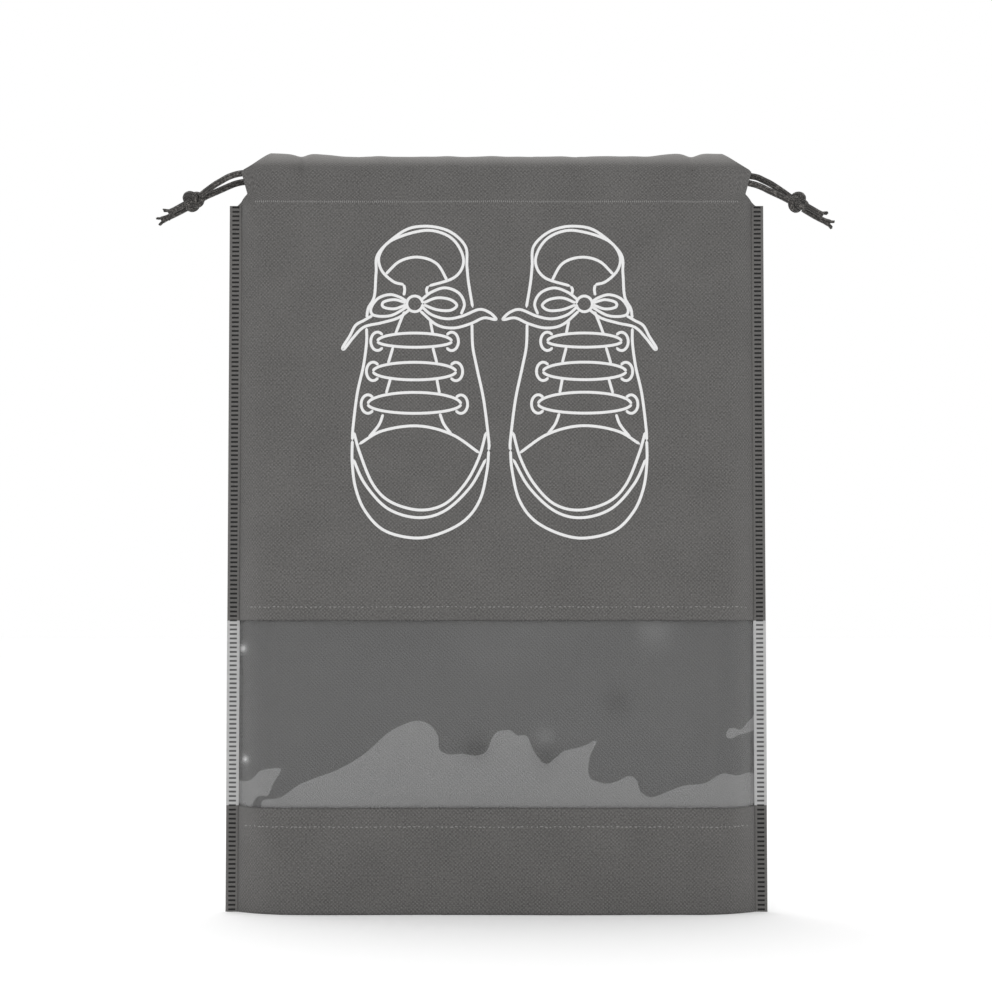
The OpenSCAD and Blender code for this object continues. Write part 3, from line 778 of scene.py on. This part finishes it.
def braid(path, stations, radii, sides=24, plait=0.00009):
    """A tube along a path: at each station a ring of points square to the path, whose radius
    swells and dips where the two sets of slanting plaits pass over each other. The UV map
    runs once round the tube and along it in plait lengths."""
    points = at_stations(path, stations)
    forward = np.gradient(points, axis=0)
    forward /= np.linalg.norm(forward, axis=1, keepdims=True)
    side = np.cross([0, 0, 1], forward)
    side /= np.linalg.norm(side, axis=1, keepdims=True)
    top = np.cross(forward, side)
    around = np.linspace(0, 1, sides + 1)
    turns = 2 * np.pi * around
    along = np.asarray(stations)[:, None] / PLAIT_PITCH
    one_set, other_set = turns + 2 * np.pi * along, turns - 2 * np.pi * along
    over = np.cos(PLAITS / 2 * one_set) * np.cos(PLAITS / 2 * other_set)
    radius = np.asarray(radii) * np.ones(len(points))
    swollen = (radius[:, None] + plait * over)[:, :-1, None]
    cosines, sines = np.cos(turns[:-1])[:, None], np.sin(turns[:-1])[:, None]
    spokes = side[:, None] * cosines + top[:, None] * sines
    uv = np.stack([np.tile(around, (len(points), 1)), np.tile(along, (1, sides + 1))], -1)
    return points[:, None] + spokes * swollen, uv


cord_finish, shader, cloth = new_finish("braided_cord", Sheen_Weight=0.1)
one_way = ((cloth.part(0) + cloth.part(1)) * (PLAITS * math.pi)).math("SINE")
other_way = ((cloth.part(0) - cloth.part(1)) * (PLAITS * math.pi)).math("SINE")
plaits = one_way * other_way
place = cloth.node("ShaderNodeTexCoord", (), (), 3)
yarn = place.noise(0.0005, 3.0, 0.7)
flecks = place.noise(0.0013, 1.0).ease(0.54, 0.64)
tone = (yarn - 0.5) * 1.1 + 0.14 + plaits * 0.3 + flecks * 0.55
tone.tint(grey(26, 0.07), grey(112, 0.07)).into(shader, "Base Color")
(0.75 + yarn * 0.2).into(shader, "Roughness")
(plaits * 0.6 + yarn * 0.5).relief(0.0003, 0.6).into(shader, "Normal")

# Each knot is an overhand knot pulled tight: the cord's wraps follow a trefoil, whose points
# run three times through a ring while they go twice round it, laid on the slope of the cord.

KNOT_RING = 0.0030
KNOT_WRAP = 0.0019
KNOT_CORD_R = 0.0020
KNOT_TILT = {"left": (-0.30, 0.35), "right": (0.42, -0.30)}
# The cut ends splay a little: each is a blunt tuft of yarns in two prongs
TUFT = 44
PRONG = 30
YARN_R = 0.00034

for word, half in HALVES.items():
    low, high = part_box(f"{word}_knot")
    centre = np.array((low + high) / 2)
    t = np.linspace(0, 2 * np.pi, 241)
    ring_r = KNOT_RING + KNOT_WRAP * np.cos(3 * t)
    rise = KNOT_WRAP * 1.05 * np.sin(3 * t)
    flat = np.stack([ring_r * np.cos(2 * t), rise, ring_r * np.sin(2 * t)], -1)
    roll, lean = KNOT_TILT[word]
    c, s = np.cos(roll), np.sin(roll)
    turned = np.array([[c, 0, s], [0, 1, 0], [-s, 0, c]])
    c, s = np.cos(lean), np.sin(lean)
    leaned = np.array([[1, 0, 0], [0, c, -s], [0, s, c]])
    wraps = centre + flat @ (turned @ leaned).T
    around_knot = np.linalg.norm(np.diff(wraps, axis=0), axis=1).sum()
    tube = braid(wraps, np.linspace(0, around_knot, 260), KNOT_CORD_R, 22)
    knot = make_piece(f"{word}_knot_wraps", [tube], cord_finish, ring=True)
    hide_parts(f"{word}_knot")

    parts = []
    for path, wide in zip(tail_routes[word], (1, 0.7)):
        path = smoothed(path)
        reach = np.linalg.norm(np.diff(path, axis=0), axis=1).sum()
        stations = np.linspace(0, reach, 60)
        places = [0, reach - 0.004, reach - 0.0006, reach]
        flare = np.interp(stations, places, [0.0018, 0.0018, 0.0022, 0.0012])
        parts.append(braid(path, stations, flare, 22))
        forward = path[-1] - path[-4]
        forward /= np.linalg.norm(forward)
        upward = np.cross(forward, [0, 1, 0]) * -half
        for k in range(TUFT):
            prong = 1 if k % 2 else -1
            angle = np.radians(prong * PRONG * wide + rng.uniform(-9, 9))
            away = forward * np.cos(angle) + upward * np.sin(angle) + [0, rng.uniform(-0.2, 0.2), 0]
            root = path[-1] - forward * 0.0015 + upward * prong * rng.uniform(0.0004, 0.0018) * wide
            root = root + [0, rng.uniform(-0.0012, 0.0012), 0]
            tip = root + away * rng.uniform(0.0026, 0.0040)
            yarn_path = np.linspace(root, tip, 4)
            length = np.linalg.norm(tip - root)
            radii = YARN_R * np.array([1, 1.1, 1, 0.8])
            parts.append(braid(yarn_path, np.linspace(0, length, 4), radii, 6, 0))
    tails = make_piece(f"{word}_tails_frayed", parts, cord_finish, ring=True)
    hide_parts(f"{word}_tails")

    route = smoothed(routes[word])
    cord_length = np.linalg.norm(np.diff(route, axis=0), axis=1).sum()
    stations = spread(0, 160, 0.05, 200, cord_length - 0.05, 160, cord_length)
    tube = braid(route, stations, CORD_D / 2)
    cord = make_piece(f"{word}_drawcord_braid", [tube], cord_finish, ring=True)
    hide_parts(f"{word}_drawcord")
    for piece in (cord, knot, tails):
        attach(piece, f"{word}_cord")

# ---- Floor, light and camera ----
# A white floor under a white surround. One large soft light stands above and to the left, a
# little behind, and a weaker one lower, in front. The floor gives off a little light itself.

floor_mesh = bpy.data.meshes.new("floor")
REACH = 20
floor_corners = [(-REACH, -REACH, 0), (REACH, -REACH, 0), (REACH, REACH, 0), (-REACH, REACH, 0)]
floor_mesh.from_pydata(floor_corners, [], [(0, 1, 2, 3)])
floor = bpy.data.objects.new("floor", floor_mesh)
bpy.context.scene.collection.objects.link(floor)
paper, shader, cloth = new_finish("white_floor", Roughness=0.9, Specular_IOR_Level=0.1,
                                  Emission_Strength=0.045, Emission_Color=(1, 1, 1, 1))
unevenness = cloth.node("ShaderNodeTexCoord", (), (), 3).noise(0.4, 2.0)
unevenness.tint(grey(250), grey(251.5)).into(shader, "Base Color")
floor_mesh.materials.append(paper)

scene = bpy.context.scene
scene.view_settings.view_transform = "Standard"
scene.world = bpy.data.worlds.new("surround")
scene.world.use_nodes = True
scene.world.node_tree.nodes["Background"].inputs["Color"].default_value = (1, 1, 1, 1)
scene.world.node_tree.nodes["Background"].inputs["Strength"].default_value = 1.0


def soft_box(name, place, aim, size, power):
    """A square area light at a place, turned to face the point it is aimed at."""
    lamp = bpy.data.lights.new(name, "AREA")
    lamp.size, lamp.energy = size, power
    light = bpy.data.objects.new(name, lamp)
    scene.collection.objects.link(light)
    light.location = place
    towards = Vector(aim) - Vector(place)
    light.rotation_euler = towards.to_track_quat("-Z", "Y").to_euler()
    light.visible_camera = False


soft_box("top_light", (-0.5, 0.5, 2.0), (0, 0, 0.1), 1.4, 9)
soft_box("front_light", (-0.3, -2.6, 1.2), (0, 0, 0.25), 1.6, 4)

lens = bpy.data.cameras.new("camera")
lens.lens, lens.sensor_width = 85.36, 36
lens.clip_start, lens.clip_end = 0.05, 50
camera = bpy.data.objects.new("camera", lens)
camera.location = (-0.0003, -1.400, 0.1723)
camera.rotation_euler = (math.radians(93.085), 0, 0)
scene.collection.objects.link(camera)
scene.camera = camera
